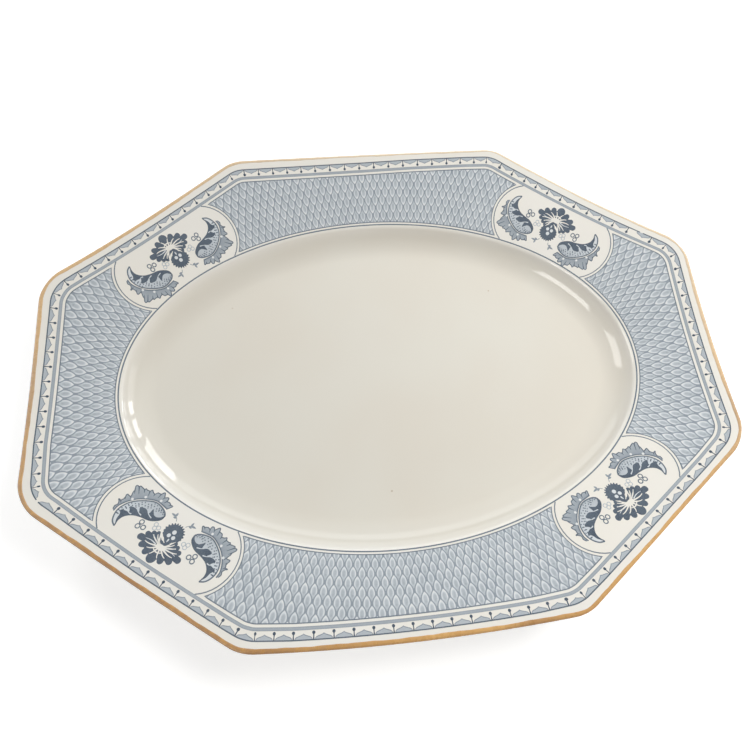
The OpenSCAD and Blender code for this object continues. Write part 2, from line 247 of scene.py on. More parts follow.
def top_z(d):
    """Height of the glazed top at distance d from the oval: rim, roll, cove and floor"""
    d = np.asarray(d, float)
    roll_slope = np.arcsin(np.clip(math.sin(RIM_SLOPE) - d / ROLL_R, 0, math.sin(WALL_SLOPE)))
    cove_slope = np.arcsin(np.clip((COVE_W + d) / COVE_R, 0, math.sin(WALL_SLOPE)))
    roll = WELL_EDGE_Z - ROLL_R * (math.cos(RIM_SLOPE) - np.cos(roll_slope))
    cove = FLOOR_Z + COVE_R * (1 - np.cos(cove_slope))
    rim = WELL_EDGE_Z + math.tan(RIM_SLOPE) * d
    return np.where(d >= 0, rim, np.where(d > -ROLL_W, roll, cove))


def glazed_z(p):
    """Height of the glazed top at each point, no higher than the part's own corners"""
    return np.minimum(top_z(away(p)), CAD_BOX[1][2] / MM)


def bisect(beyond, inner, outer):
    """Where a test turns true between a value that fails it and one that passes it"""
    for _ in range(40):
        middle = (inner + outer) / 2
        inner, outer = (inner, middle) if beyond(middle) else (middle, outer)
    return (inner + outer) / 2


# Meshes

def add_object(name, data):
    obj = bpy.data.objects.new(name, data)
    bpy.context.scene.collection.objects.link(obj)
    return obj


def read_all(items, field, kind=float, width=1):
    """One field of all of a mesh's items, which has so many numbers for each"""
    values = np.empty(len(items) * width, kind)
    items.foreach_get(field, values)
    return values


def finish_mesh(name, co, faces, sharp_edges=None, ink=None, lattice=None):
    """An object from points in millimetres and faces, smooth but for its sharp edges"""
    mesh = bpy.data.meshes.new(name)
    mesh.from_pydata((co * MM).tolist(), [], [f.tolist() for f in faces])
    mesh.shade_smooth()
    if sharp_edges is not None:
        pairs = np.sort(read_all(mesh.edges, "vertices", int, 2).reshape(-1, 2), axis=1)
        sharp = np.isin(pairs @ [len(co), 1], np.sort(sharp_edges, axis=1) @ [len(co), 1])
        mesh.edges.foreach_set("use_edge_sharp", sharp)
    if ink is not None:
        column = mesh.attributes.new("ink", "FLOAT", "POINT")
        column.data.foreach_set("value", ink.astype(np.float32))
    if lattice is not None:
        column = mesh.attributes.new("lattice", "FLOAT_VECTOR", "POINT")
        column.data.foreach_set("vector", lattice.astype(np.float32).ravel())
    return add_object(name, mesh)


def grid_faces(rows, columns, closed=False):
    """Triangles between rows of points that lie one after another"""
    across = np.arange(columns if closed else columns - 1)
    r, c = np.meshgrid(np.arange(rows - 1), across, indexing="ij")
    a = (r * columns + c).ravel()
    b = (r * columns + (c + 1) % columns).ravel()
    return np.concatenate([np.stack([a, a + columns, b], 1),
                           np.stack([b, a + columns, b + columns], 1)])


class Sheet:
    """A flat shape of the print: points in the plan, triangles, ink and height over the clay"""

    def __init__(self, xy, faces, ink, lift, lattice=None):
        self.xy = np.asarray(xy, float).reshape(-1, 2)
        self.ink, self.lift = (np.broadcast_to(np.asarray(v, float), (len(self.xy),))
                               for v in (ink, lift))
        (ax, ay), (bx, by), (cx, cy) = (self.xy[faces[:, k]].T for k in range(3))
        area = (bx - ax) * (cy - ay) - (by - ay) * (cx - ax)
        self.faces = np.where((area < 0)[:, None], faces[:, ::-1], faces)
        self.lattice = np.zeros((len(self.xy), 3)) if lattice is None else lattice


def patch(points, ink, lift, lattice=None):
    """A sheet from rows and columns of points, with one ink, one for each column or one for each
    point"""
    rows, columns = points.shape[:2]
    ink = np.broadcast_to(ink, (rows, columns)).ravel()
    return Sheet(points, grid_faces(rows, columns), ink, lift, lattice)


def blob(centre, radii, ink, lift, rings):
    """A sheet round a centre, with its radius given all round"""
    n = len(radii)
    outline = np.asarray(radii)[:, None] * heading(all_round(n))
    shares = (np.arange(rings) + 1) / rings
    points = np.concatenate([[[0, 0]], (shares[:, None, None] * outline).reshape(-1, 2)]) + centre
    k = np.arange(n)
    fan = np.stack([np.zeros(n, int), 1 + k, 1 + (k + 1) % n], 1)
    return Sheet(points, np.concatenate([fan, grid_faces(rings, n, closed=True) + 1]), ink, lift)


def disc(centre, radius, ink, lift, points=14):
    return blob(centre, np.full(points, radius), ink, lift, 1)


def stroke(points, widths, ink, lift, closed=False):
    """A sheet along a line of points, as wide as widths says"""
    points = np.asarray(points, float)
    if closed:
        points = np.concatenate([points, points[:1]])
        way = np.gradient(np.concatenate([points[-2:-1], points, points[1:2]]), axis=0)[1:-1]
    else:
        way = np.gradient(points, axis=0)
    way /= length_of(way)[:, None]
    widths = np.broadcast_to(widths, (len(points),))
    side = np.stack([-way[:, 1], way[:, 0]], 1) * widths[:, None] / 2
    return patch(np.stack([points - side, points + side], 1), ink, lift)


def ring(centre, radius, width, ink, lift):
    """A ring, with its radius at the middle of its line"""
    return stroke(centre + radius * heading(all_round(18)), width, ink, lift, closed=True)


def curve(points, count):
    """Evenly spaced points on a smooth curve through given points"""
    p = np.asarray(points, float)
    p = np.concatenate([2 * p[:1] - p[1:2], p, 2 * p[-1:] - p[-2:-1]])
    u = np.linspace(0, 1, 13)[:-1, None]
    parts = [0.5 * (2 * b + (c - a) * u + (2 * a - 5 * b + 4 * c - d) * u ** 2
                    + (3 * b - a - 3 * c + d) * u ** 3)
             for a, b, c, d in zip(p[:-3], p[1:-2], p[2:-1], p[3:])]
    return even_steps(np.concatenate(parts + [p[-2:-1]]), count)


def even_steps(points, count):
    """A line of points walked again in even steps"""
    points = np.asarray(points, float)
    walked = np.r_[0, np.cumsum(length_of(np.diff(points, axis=0)))]
    steps = np.linspace(0, walked[-1], count)
    return np.stack([np.interp(steps, walked, points[:, k]) for k in range(points.shape[1])], 1)


def loft(first, last, across, ink, lift):
    """A sheet between two lines with as many points each"""
    shares = np.linspace(0, 1, across)[None, :, None]
    return patch(first[:, None] * (1 - shares) + last[:, None] * shares, ink, lift)


def joined(sheets):
    """The points, heights, inks, lattice and faces of several sheets"""
    starts = np.r_[0, np.cumsum([len(s.xy) for s in sheets])]
    return (*(np.concatenate([getattr(s, part) for s in sheets])
              for part in ("xy", "lift", "ink", "lattice")),
            np.concatenate([s.faces + k for s, k in zip(sheets, starts)]))


def lay(name, sheets):
    """Lays sheets on the glazed clay as one object of thin closed films"""
    xy, lift, ink, lattice, faces = joined(sheets)
    z = top_z(away(xy))
    n = len(xy)
    co = np.concatenate([np.c_[xy, z + lift], np.c_[xy, z - PRINT_SINK]])
    sides = np.concatenate([faces[:, [0, 1]], faces[:, [1, 2]], faces[:, [2, 0]]])
    rim = sides[~np.isin(sides @ [n, 1], sides[:, ::-1] @ [n, 1])]
    a, b = rim.T
    walls = np.concatenate([np.stack([b, a, a + n], 1), np.stack([b, a + n, b + n], 1)])
    return finish_mesh(name, co, np.concatenate([faces, faces[:, ::-1] + n, walls]),
                       np.concatenate([rim, rim + n]), np.tile(ink, 2), np.tile(lattice, (2, 1)))


# Node trees

def feed(socket, value):
    """Gives a socket a constant, or links another socket or a Value to it"""
    if isinstance(value, Value):
        value = value.socket
    if isinstance(value, bpy.types.NodeSocket):
        socket.id_data.links.new(value, socket)
    else:
        socket.default_value = value


def fill(node, **inputs):
    """Feeds a node's inputs by their names, with an underscore for each space"""
    for name, value in inputs.items():
        feed(node.inputs[name.replace("_", " ")], value)
    return node


def add_node(tree, kind, **inputs):
    return fill(tree.nodes.new(kind), **inputs)


def use_group(tree, group, **inputs):
    """What a group makes of its inputs in a tree"""
    node = tree.nodes.new("ShaderNodeGroup")
    node.node_tree = group
    return fill(node, **inputs).outputs


class Value:
    """A value on its way through a node tree, so that sums of nodes read as sums"""

    def __init__(self, socket):
        self.socket = socket

    def _math(self, operation, *others):
        node = add_node(self.socket.id_data, "ShaderNodeMath")
        node.operation = operation
        for k, value in enumerate((self, *others)):
            feed(node.inputs[k], value)
        return Value(node.outputs["Value"])

    def __add__(self, other): return self._math("ADD", other)
    def __sub__(self, other): return self._math("SUBTRACT", other)
    def __rsub__(self, other): return self * -1 + other
    def __mul__(self, other): return self._math("MULTIPLY", other)
    def __truediv__(self, other): return self._math("DIVIDE", other)
    def __pow__(self, other): return self._math("POWER", other)
    def __abs__(self): return self._math("ABSOLUTE")
    def floor(self): return self._math("FLOOR")
    def under(self, other): return self._math("LESS_THAN", other)
    def largest(self, other): return self._math("MAXIMUM", other)
    def root(self): return self._math("SQRT")

    def mix(self, other, share):
        return self - (self - other) * share

    def step(self, first, last):
        """0 up to first, 1 from last on, smooth between"""
        node = add_node(self.socket.id_data, "ShaderNodeMapRange",
                        Value=self, From_Min=first, From_Max=last)
        node.interpolation_type = "SMOOTHSTEP"
        return Value(node.outputs["Result"])


def new_group(name, inputs, outputs, kind="ShaderNodeTree"):
    """A node group, and the sockets that it is given and makes"""
    group = bpy.data.node_groups.new(name, kind)
    for way, sockets in (("INPUT", inputs), ("OUTPUT", outputs)):
        for socket, holds in sockets.items():
            group.interface.new_socket(socket, in_out=way, socket_type="NodeSocket" + holds)
    return (group, group.nodes.new("NodeGroupInput").outputs,
            group.nodes.new("NodeGroupOutput").inputs)


def noise(place, scale, detail):
    """Noise with so many waves a metre, and so many finer ones over them"""
    node = add_node(place.id_data, "ShaderNodeTexNoise", Vector=place, Scale=scale, Detail=detail)
    return Value(node.outputs["Fac"])


def mixed(share, first, last):
    """A mix of two colours, each a constant or a socket"""
    node = share.socket.id_data.nodes.new("ShaderNodeMix")
    node.data_type = "RGBA"
    for socket, value in (("Factor", share), (6, first), (7, last)):
        feed(node.inputs[socket], value)
    return node.outputs[2]


def axes(vector):
    """The three parts of a vector"""
    node = add_node(vector.id_data, "ShaderNodeSeparateXYZ", Vector=vector)
    return [Value(node.outputs[axis]) for axis in "XYZ"]


# The clay body and the enamel on its lip

STATIONS = 600
STATION_T = np.arange(STATIONS) * ROUND / STATIONS
# The foot ring's section from the recess inside it out to the wall: how far in each point lies from
# the ring's inner face, then from its outer face, and its height
FOOT_INSIDE = ((1.2, FOOT_H), (0.5, FOOT_H - 0.1), (0.1, FOOT_H - 0.45), (0, FOOT_H - 0.8),
               (0, 0.5), (-0.15, 0.15), (-0.5, 0), (-1.2, 0))
FOOT_OUTSIDE = ((1.8, 0), (1, 0), (0.62, 0.12), (0.42, 0.5), (0.22, 1.4))
# Where the underside turns from the wall to the rim: distance out from the oval, and thickness
UNDER_TURN = ((3.6, RIM_T + 0.14), (5.2, RIM_T))
# The underside's bend from the rim to the lip: distance in from the lip's rounding, and thickness
LIP_BEND = (0.7, LIP_T + 0.12)
# The enamel and its bed in the clay: their depth, the degrees up the lip's side at which each
# starts, and how far beyond the enamel's inner edge the clay is level again
ENAMEL_T, ENAMEL_FROM, BED_FROM, BED_W = 0.08, -32, -35, 0.3
# How far the enamel's inner edge stops short of its bed's, and how deep its underside is sunk
ENAMEL_SHORT, ENAMEL_SINK = 0.1, 0.05
# How thick the enamel was brushed at the middle of each side, and how far in it reaches, from the
# back right on. The thin shares on the back sides are partly a painted highlight on the far lip
ENAMEL_SHARES_AND_HIGHLIGHT = (0.06, 0.14, 0.55, 0.62, 1.0, 1.0, 0.88, 0.45)
ENAMEL_REACH = (1.9, 1.9, 2.5, 2.5, 2.2, 2.5, 2.1, 2.6)
# The waver of the enamel's inner edge: size of the waves, their number round the lip, and start
ENAMEL_WAVER = ((0.10, 23, 1), (0.07, 57, 2.2), (0.05, 131, 0))


def by_side(values):
    """A value given for the middle of each side, at each station"""
    return np.interp(STATION_T, [side_middle(s) for s in range(8)], values, period=ROUND)


def beside_edge(w, drop):
    """A ring of points w in from the edge, at a drop under the glazed top"""
    p = edge(STATION_T, w)
    return np.c_[p, glazed_z(p) - drop]


def lip_round(angle, depth):
    """How far in and how far down the lip's rounding lies at an angle up its side, depth deep"""
    return (LIP_ROUND - (LIP_ROUND - depth) * math.cos(angle),
            LIP_T / 2 - (LIP_T / 2 - depth) * math.sin(angle))


def ring_quads(rings, closed=False):
    """Quads between rings that lie one after another, closed from the last ring to the first"""
    firsts = np.arange(rings if closed else rings - 1)
    r, c = np.meshgrid(firsts, np.arange(STATIONS), indexing="ij")
    here, after, beside = r * STATIONS, (r + 1) % rings * STATIONS, (c + 1) % STATIONS
    return np.stack([here + c, here + beside, after + beside, after + c], -1).reshape(-1, 4)


def body_rings():
    """Rings of points from the middle of the underside, out over the lip and in to the middle"""
    angle = foot_angle(edge(STATION_T, PANEL_W0))
    rings = []

    def at_oval(d, z, share=1):
        rings.append(np.c_[oval(angle, d) * share, np.full(STATIONS, z)])

    def at_edge(w, drop):
        rings.append(beside_edge(w, drop))

    def between(first, last, shares, thick):
        for share in shares:
            p = first + (last - first) * share
            rings.append(np.c_[p, top_z(away(p)) - thick])

    under_r = COVE_R + BASE_T
    foot_in = FOOT_SET + FOOT_W
    foot_slope = math.asin((COVE_W - FOOT_SET) / under_r)
    recess, z = FOOT_INSIDE[0]
    for share in (0.2, 0.5, 0.8):
        at_oval(-foot_in - recess, z, share)
    for face, section in ((foot_in, FOOT_INSIDE), (FOOT_SET, FOOT_OUTSIDE)):
        for inset, z in section:
            at_oval(-face - inset, z)
    for slope in np.linspace(foot_slope, WALL_SLOPE, 9):
        at_oval(under_r * math.sin(slope) - COVE_W, FLOOR_Z + COVE_R - under_r * math.cos(slope))
    for d, thick in UNDER_TURN:
        at_oval(d, top_z(d) - thick)
    between(oval(angle, UNDER_TURN[-1][0]), edge(STATION_T, MARGIN_W + BORDER_W),
            (0.2, 0.4, 0.6, 0.8, 1), RIM_T)
    at_edge(MARGIN_W, RIM_T)
    at_edge(LIP_ROUND + LIP_BEND[0], LIP_BEND[1])
    for turn in np.linspace(-90, 90, 15):
        at_edge(*lip_round(math.radians(turn), ENAMEL_T if turn > BED_FROM else 0))
    enamel_in = by_side(ENAMEL_REACH)
    at_edge((LIP_ROUND + enamel_in) / 2, ENAMEL_T)
    at_edge(enamel_in + BED_W, 0)
    for w in (MARGIN_W, 6.5, 8.5, PANEL_W0):
        at_edge(w, 0)
    between(edge(STATION_T, PANEL_W0), oval(angle, 0), np.linspace(0, 1, 15)[1:-1], 0)
    for slope in np.linspace(RIM_SLOPE, WALL_SLOPE, 7):
        d = -ROLL_R * (math.sin(slope) - math.sin(RIM_SLOPE))
        at_oval(d, top_z(d))
    for slope in np.linspace(WALL_SLOPE, 0, 16)[1:]:
        d = COVE_R * math.sin(slope) - COVE_W
        at_oval(d, top_z(d))
    for share in (0.985, 0.95, 0.88, 0.76, 0.6, 0.4, 0.2):
        at_oval(-COVE_W, FLOOR_Z, share)
    return rings


def make_body():
    rings = body_rings()
    count = len(rings) * STATIONS
    co = np.concatenate(rings + [[[0, 0, FOOT_H]], [[0, 0, FLOOR_Z]]])
    k = np.arange(STATIONS)
    beside, last = (k + 1) % STATIONS, count - STATIONS
    under = np.stack([np.full(STATIONS, count), beside, k], 1)
    floor = np.stack([np.full(STATIONS, count + 1), last + k, last + beside], 1)
    return finish_mesh("glazed_body", co, [*ring_quads(len(rings)), *under, *floor])


def make_lip_line():
    """The brushed enamel on the lip: a closed tube of thin section with an uneven inner edge"""
    turn = STATION_T * TURN / ROUND
    waver = sum(size * np.sin(waves * turn + start) for size, waves, start in ENAMEL_WAVER)
    inner = by_side(ENAMEL_REACH) - ENAMEL_SHORT + waver
    angles = np.radians(np.linspace(ENAMEL_FROM, 90, 11))
    outside = [lip_round(a, 0) for a in angles] + [((LIP_ROUND + inner) / 2, 0), (inner, 0)]
    inside = [(inner, ENAMEL_T * 0.9),
              *(lip_round(a, ENAMEL_T + ENAMEL_SINK) for a in angles[::-1])]
    rings = [beside_edge(w, drop) for w, drop in outside + inside]
    # The enamel's share by side sets its paleness, which on the back sides is partly a painted
    # highlight
    return finish_mesh("lip_enamel", np.concatenate(rings), ring_quads(len(rings), closed=True),
                       ink=np.tile(by_side(ENAMEL_SHARES_AND_HIGHLIGHT), len(rings)))


# Panels and cartouches

def end_shift(e):
    """How far along its side a rounded end is centred: a cartouche's first end, then its last"""
    return (1 if e % 2 else -1) * END_SPREAD + LAID_SHIFTS[e // 2]


def end_centre(e):
    return side_point(2 * (e // 2), END_INSET, end_shift(e))


def end_meets(e, r, w, d):
    """Where a rounded end of radius r meets the lines w in from the edge and d off the oval"""
    c, hand = end_centre(e), 1 if e % 2 else -1
    near = side_middle(2 * (e // 2)) + end_shift(e)
    t = bisect(lambda v: length_of(laid(v, w) - c) > r, near, near + hand * 2 * r)
    turn = float(foot_angle(c))
    reach = hand * 2.4 * r / WELL[0]
    angle = bisect(lambda v: length_of(oval(v, d) - c) > r, turn, turn + reach)
    return t, angle


def end_curve(e, r, t, angle, w, d, across):
    """Points on a rounded end from the line at w to the line at d"""
    c = end_centre(e)
    first, last = laid(t, w) - c, oval(angle, d) - c
    start = math.atan2(first[1], first[0])
    turn = swing(start, math.atan2(last[1], last[0]))
    return c + r * heading(start + turn * np.linspace(0, 1, across))


def stretch(s, r, w, d, count, across, power):
    """Rows of points over stretch s of the rim, a cartouche (even) or a scale panel (odd), between
    the lines w in from the edge and d off the oval, ended by two rounded ends of radius r"""
    t0, angle0 = end_meets(s % 8, r, w, d)
    t1, angle1 = end_meets((s + 1) % 8, r, w, d)
    t1 = t0 + (t1 - t0) % ROUND
    share = np.linspace(0, 1, across)
    ends = [end_curve(e % 8, r, t, angle, w, d, across)
            for e, t, angle in ((s, t0, angle0), (s + 1, t1, angle1))]
    bends = [c - (c[0] + (c[-1] - c[0]) * share[:, None]) for c in ends]
    u = np.linspace(0, 1, count)
    outer = laid(t0 + (t1 - t0) * u, w)
    turned = np.unwrap(foot_angle(outer))
    by_foot = (turned - turned[0]) / (turned[-1] - turned[0])
    inner = oval(angle0 + swing(angle0, angle1) * by_foot, d)
    rows = outer[:, None] + (inner - outer)[:, None] * share[None, :, None]
    return (rows + ((1 - u) ** power)[:, None, None] * bends[0]
            + (u ** power)[:, None, None] * bends[1])


OVAL_ANGLES = np.linspace(-math.pi, 3 * math.pi, 8001)
OVAL_WALK = np.r_[0, np.cumsum(length_of(np.diff(WELL * heading(OVAL_ANGLES), axis=0)))]

# The scale grounds by side: pitch of the columns on the oval, pitch of the rows and distance of the
# first tips; columns and rows that the pattern is shifted by; how the columns and the rows lean, in
# columns and rows a millimetre; and rows of points in the mesh
SCALE_GROUNDS = {1: (3.97, 4.15, 2.45, 0.2, 0.15, -0.011, 0.0038, 150),
                 3: (3.7, 4.2, 1.6, 0.56, -0.07, 0, 0, 120),
                 5: (4.05, 4.15, 2.45, 0.7, -0.01, 0, 0, 150),
                 7: (3.74, 4.2, 1.9, -0.07, -0.09, -0.003, 0.004, 120)}


def make_scale_panel(s, name):
    column, row, first, shift, rise, column_lean, row_lean, count = SCALE_GROUNDS[s]
    rows = stretch(s, PANEL_LINE_R, PANEL_LINE_W, PANEL_LINE_D, count, across=18, power=4)
    points = rows.reshape(-1, 2)
    middle = facing(s)
    angle = middle + swing(middle, foot_angle(points))
    along = np.interp(angle, OVAL_ANGLES, OVAL_WALK) - np.interp(middle, OVAL_ANGLES, OVAL_WALK)
    out = away(points)
    cells = np.c_[along / column + shift + out * column_lean,
                  (out - first) / row + rise + along * row_lean, np.ones(len(points))]
    outline = np.concatenate([rows[:, 0], rows[-1, 1:], rows[-2::-1, -1], rows[0, -2:0:-1]])
    return lay(name, [patch(rows, GREY, GROUND_LIFT, cells),
                      stroke(outline, PANEL_LINE_T, DEEP, DRAW_LIFT, closed=True)])


# The flower spray, in millimetres along its side and in towards the well. The flower's petals are
# given about its heart on one side, by where their round ends lie and how large those are, and the
# leaf with its berries and sprig is given on one side: the other sides mirror them
HEART = np.array([-0.6, -0.7])
LOBES = ((0, -5.3, 2.3), (4.2, -4.5, 1.45), (7.7, -2.9, 1.4), (10.5, -0.6, 1.5), (8.8, 2.0, 1.15),
         (6.7, 3.4, 1.1), (4.9, 4.4, 0.95))
NOTCH = ((3.5, 3.9), (1.8, 2.9), (0, 2.3))
PETAL_BONES = (((2.6, 0.1), (5.5, 0.5), (8.2, 0.1)), ((2.4, 0.9), (4.8, 2.0), (6.6, 2.7)))
BUD = np.array([0.15, 7.1])
# The bud's reach by the angle in degrees
BUD_REACH = ((-90, 5.6), (-60, 4.4), (-30, 4.9), (0, 4.9), (45, 4.4), (90, 4.1), (135, 4.4),
             (180, 4.9), (210, 4.9), (240, 4.4), (270, 5.6))
BUD_DOTS = ((0, 0.3, 1.0), (1.25, -1.9, 0.9), (-1.25, -1.9, 0.9))
PAISLEY_LOWER = ((-24.0, -3.5), (-24.6, -0.6), (-23.7, 2.0), (-21.0, 4.2), (-17.4, 5.3),
                 (-13.6, 5.9), (-10.8, 7.2), (-9.0, 8.9), (-8.7, 11.0))
PAISLEY_UPPER = ((-24.0, -3.5), (-26.3, -2.1), (-27.8, 0.7), (-28.0, 3.8), (-26.5, 7.5),
                 (-23.6, 10.4), (-19.8, 12.7), (-16.3, 13.9), (-12.9, 13.5), (-10.1, 12.4),
                 (-8.7, 11.0))
LEAF_TEETH = ((-30.4, 2.3), (-30.1, 5.3), (-31.4, 6.8), (-29.5, 7.3), (-29.9, 9.8), (-28.1, 10.5),
              (-28.6, 13.1), (-29.4, 15.8), (-27.3, 16.1), (-25.1, 16.4), (-23.9, 16.3),
              (-22.3, 17.3), (-20.6, 16.9), (-18.1, 18.0), (-16.5, 19.2), (-14.6, 18.0),
              (-13.0, 18.2), (-12.2, 16.8), (-9.3, 16.4), (-10.1, 14.0))
LEAF_BASE = ((-29.3, 1.5), (-29.2, 4.4), (-27.3, 8.0), (-24.2, 11.2), (-20.1, 13.5), (-16.4, 14.7),
             (-12.8, 14.4), (-10.1, 14.0))
LEAF_DOTS = ((-26.4, 9.7), (-22.2, 13.4), (-15.2, 15.6))
# The rows of dots in the leaf's pale half: their share of the way across it, and the dots' radius
PAISLEY_DOTS = ((0.86, 0.3), (0.73, 0.33), (0.6, 0.28))
DARK_LOBES = ((-24.2, -3.0), (-25.5, -0.6), (-25.9, 1.6), (-27.0, 3.4), (-25.1, 4.1), (-23.3, 4.6),
              (-24.7, 6.6), (-22.3, 7.2), (-19.7, 6.6), (-20.8, 8.6), (-18.0, 9.3), (-15.6, 8.2),
              (-15.3, 10.9), (-13.8, 9.2), (-11.7, 8.7), (-9.8, 9.7), (-8.8, 11.4))
BERRIES = ((-15.3, 3.8), (-15.6, 1.5), (-13.1, 2.2))
FAINT_BERRIES = ((-9.2, 6.1), (-8.7, 4.5), (-7.2, 5.4))
SPRIG = ((-2.7, 11.7), (-3.5, 12.8), (-4.6, 13.5))
SPRIG_LEAVES = (((-4.4, 13.5), (-7.1, 13.7)), ((-4.5, 13.4), (-4.7, 15.3)),
                ((-3.7, 13.0), (-5.4, 12.6)))
# The small lobes along the leaf's edge: their number, and where in its length each one's tip lies
LEAF_LOBES, LOBE_TIP = 14, 0.3
LOBE_GAPS = (((-24.2, 4.5), (-22.9, 4.1), (-21.8, 4.2)), ((-20.7, 6.8), (-19.2, 6.2), (-17.8, 5.9)),
             ((-16.4, 8.5), (-14.8, 7.7), (-13.2, 7.2)))
# How far in the spray's middle lies, where each spray lies along its side, towards the long side,
# and how far it was laid off inwards
SPRAY_W = 18.7
SPRAY_SHIFTS = {0: (6.75, 0.6), 2: (1.95, 0.9), 4: (2.3, 0.0), 6: (3.7, -0.2)}


def lobed(inner, outer):
    """The outer of two lines drawn out into small leaning lobes, and the places of the notches
    between them"""
    out = outer - inner
    out /= np.maximum(length_of(out), 0.01)[:, None]
    share = (LEAF_LOBES * np.linspace(0, 1, len(outer))) % 1
    swell = np.minimum(share / LOBE_TIP, (1 - share) / (1 - LOBE_TIP)) ** 0.8 - 0.6
    notches = np.round(np.arange(1, LEAF_LOBES) / LEAF_LOBES * (len(outer) - 1)).astype(int)
    return outer + swell[:, None] * out, notches


def spray_half(hand):
    """One leaf with its berries and sprig, mirrored by hand"""

    def at(points):
        return np.asarray(points, float) * [-hand, 1]

    lower, upper = curve(PAISLEY_LOWER, 46), curve(PAISLEY_UPPER, 46)
    base = curve(LEAF_BASE, 180)
    teeth, notches = lobed(base, curve(LEAF_TEETH, 180))
    # The leaf's toothed half fades to its edge, and its pale half darkens along it and across it
    fade = np.linspace(0.56, 0.42, 5)
    shade = np.linspace(0.08, 0.34, 46)[:, None] + np.linspace(0, 0.06, 6)
    sheets = [
        loft(at(base), at(teeth), 5, fade, FILL_LIFT),
        stroke(at(teeth), 0.46, DEEP + 0.1, DRAW_LIFT),
        stroke(at(base), 0.62, DEEP, DRAW_LIFT),
        loft(at(lower), at(upper), 6, shade, FILL_LIFT),
        loft(at(curve(DARK_LOBES, 90)), at(curve(PAISLEY_LOWER, 90)), 4, DARK - 0.05, DRAW_LIFT),
        stroke(at(upper), 0.62, DEEP + 0.05, FINE_LIFT),
        stroke(at(lower), 0.5, DARK - 0.05, FINE_LIFT)]
    for n, k in enumerate(notches):
        reach = 0.62 if n % 2 else 0.38
        vein = at([teeth[k], base[k] * reach + teeth[k] * (1 - reach)])
        sheets.append(stroke(even_steps(vein, 4), np.linspace(0.6, 0.2, 4), DEEP + 0.08, FINE_LIFT))
    sheets += [disc(at(spot), 0.62, PALE - 0.06, FINE_LIFT + 0.01, 12) for spot in LEAF_DOTS]
    sheets += [stroke(at(curve(line, 9)), np.linspace(0.2, 0.55, 9), PALE + 0.04, FINE_LIFT)
               for line in LOBE_GAPS]
    for k in range(9, 44, 2):
        for share, radius in PAISLEY_DOTS:
            place = share + 0.05 * math.sin(2.3 * k + 9 * share)
            spot = lower[k] + (upper[k] - lower[k]) * place
            sheets.append(disc(at(spot), radius, DEEP + 0.08, FINE_LIFT, 8))
    for spot in BERRIES:
        sheets += [disc(at(spot), 1.2, CREAM, DRAW_LIFT),
                   ring(at(spot), 1.0, 0.5, DARK - 0.16, FINE_LIFT)]
    sheets += [ring(at(spot), 0.9, 0.36, MIST + 0.04, DRAW_LIFT) for spot in FAINT_BERRIES]
    sheets.append(stroke(at(curve(SPRIG, 12)), 0.3, MID, DRAW_LIFT))
    sheets += [stroke(at(even_steps(ends, 5)), [0.3, 0.9, 1.0, 0.7, 0.1], MID, DRAW_LIFT)
               for ends in SPRIG_LEAVES]
    return sheets


def circle_exit(centre, radius, angles):
    """How far rays from the middle run before they leave a circle, or zero where they miss it"""
    centre = np.asarray(centre, float)
    along = heading(angles) @ centre
    inside = radius ** 2 - (centre @ centre - along ** 2)
    return np.where((inside > 0) & (along > 0), along + np.sqrt(np.maximum(inside, 0)), 0)


def mirrored(points):
    """Points of one half, and the same points on the other side of the middle"""
    return [p for x, *rest in points for p in ((x, *rest), (-x, *rest))]


def polar(points):
    """Angles and distances of points, in the angles' order"""
    p = np.array([q[:2] for q in points], float)
    angles = np.arctan2(p[:, 1], p[:, 0])
    order = np.argsort(angles)
    return angles[order], length_of(p)[order]


def flower():
    """The flower about its heart: petals with round ends, and cream between them"""
    angles = all_round(240)
    lobes = mirrored(LOBES)
    reach = np.max([circle_exit((x, y), r, angles) for x, y, r in lobes], axis=0)
    lobe_angles, lobe_reach = polar(lobes[1:])
    base = np.interp(angles, *polar(lobes[1:] + mirrored(NOTCH)[:-1]), period=TURN) * 0.93
    sheets = [blob((0, 0), np.maximum(reach, base), DARK - 0.06, FILL_LIFT, 6)]
    for first, last, a, b in zip(lobe_angles, lobe_angles[1:], lobe_reach, lobe_reach[1:]):
        # The widest step is the notch at the top, which has no petals
        if last - first > 1:
            continue
        turn, out = (first + last) / 2, min(a, b) * 0.93
        bend = 0.08 * np.sign(math.cos(turn)) * np.linspace(1, -1, 9) ** 2
        line = np.linspace(1.2, out, 9)[:, None] * heading(turn + bend)
        sheets.append(stroke(line, np.linspace(0.8, 0.32, 9), CREAM, DRAW_LIFT))
    for hand in (1, -1):
        wedge = curve([(hand * 1.2, 0.6), (hand * 2.5, 2.3), (hand * 4.2, 5.2)], 9)
        sheets.append(stroke(wedge, np.linspace(0.7, 0.45, 9), CREAM, DRAW_LIFT))
        for bone in PETAL_BONES:
            line = curve([(hand * x, y) for x, y in bone], 9)
            sheets.append(stroke(line, np.linspace(0.55, 0.2, 9), PALE, DRAW_LIFT))
    arc = heading(np.radians(np.linspace(-150, -30, 15))) * [3.0, 2.5]
    sheets.append(stroke(arc, np.sin(np.linspace(0.3, 2.84, 15)) * 0.6, CREAM, DRAW_LIFT))
    heart = 1 / np.sqrt((np.cos(angles) / 2.2) ** 2 + (np.sin(angles) / 1.3) ** 2)
    sheets.append(blob((0, 0), heart, CREAM, FINE_LIFT, 2))
    return sheets


def bud():
    """The bud over the flower: a dark drop with a comb-like edge and three pale dots"""
    angles = all_round(240)
    reach = np.interp(np.degrees(angles), *zip(*BUD_REACH), period=360)
    comb = np.sin(21 * angles) * np.clip(np.sin(angles) + 0.75, 0, 1)
    stem = even_steps([(0, -3.1), (0, -4.8)], 5)
    return [blob((0, 0), reach + 0.42 * comb, DARK - 0.06, DRAW_LIFT, 5),
            *(disc((x, y), r, PALE - 0.02, FINE_LIFT, 16) for x, y, r in BUD_DOTS),
            stroke(stem, [0.3, 0.75, 0.7, 0.5, 0.2], PALE, FINE_LIFT)]


